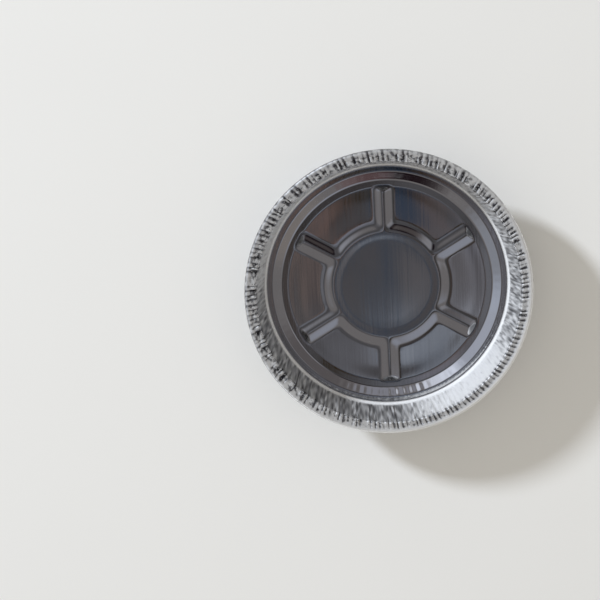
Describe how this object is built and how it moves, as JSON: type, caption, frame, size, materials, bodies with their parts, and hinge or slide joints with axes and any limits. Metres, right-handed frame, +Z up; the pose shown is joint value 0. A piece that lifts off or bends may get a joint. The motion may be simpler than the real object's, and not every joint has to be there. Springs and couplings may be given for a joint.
{
  "type": "foil pie tin",
  "caption": "Round pie tin pressed from aluminium foil, with a pleated wall, a rolled rim, a small ledge and a flat base stiffened by a raised disc, ring and radial ribs.",
  "frame": {"origin": "centre of the tin, on the plane that the underside of its base rests on", "axes": "+Z up out of the mouth along the tin's axis, +Y along one of the base's ribs"},
  "size_m": [0.229, 0.229, 0.044],
  "materials": {
    "foil": "bright rolled foil with fine rolling lines"
  },
  "bodies": {
    "root": {"pie_tin": "foil"}
  },
  "joints": []
}
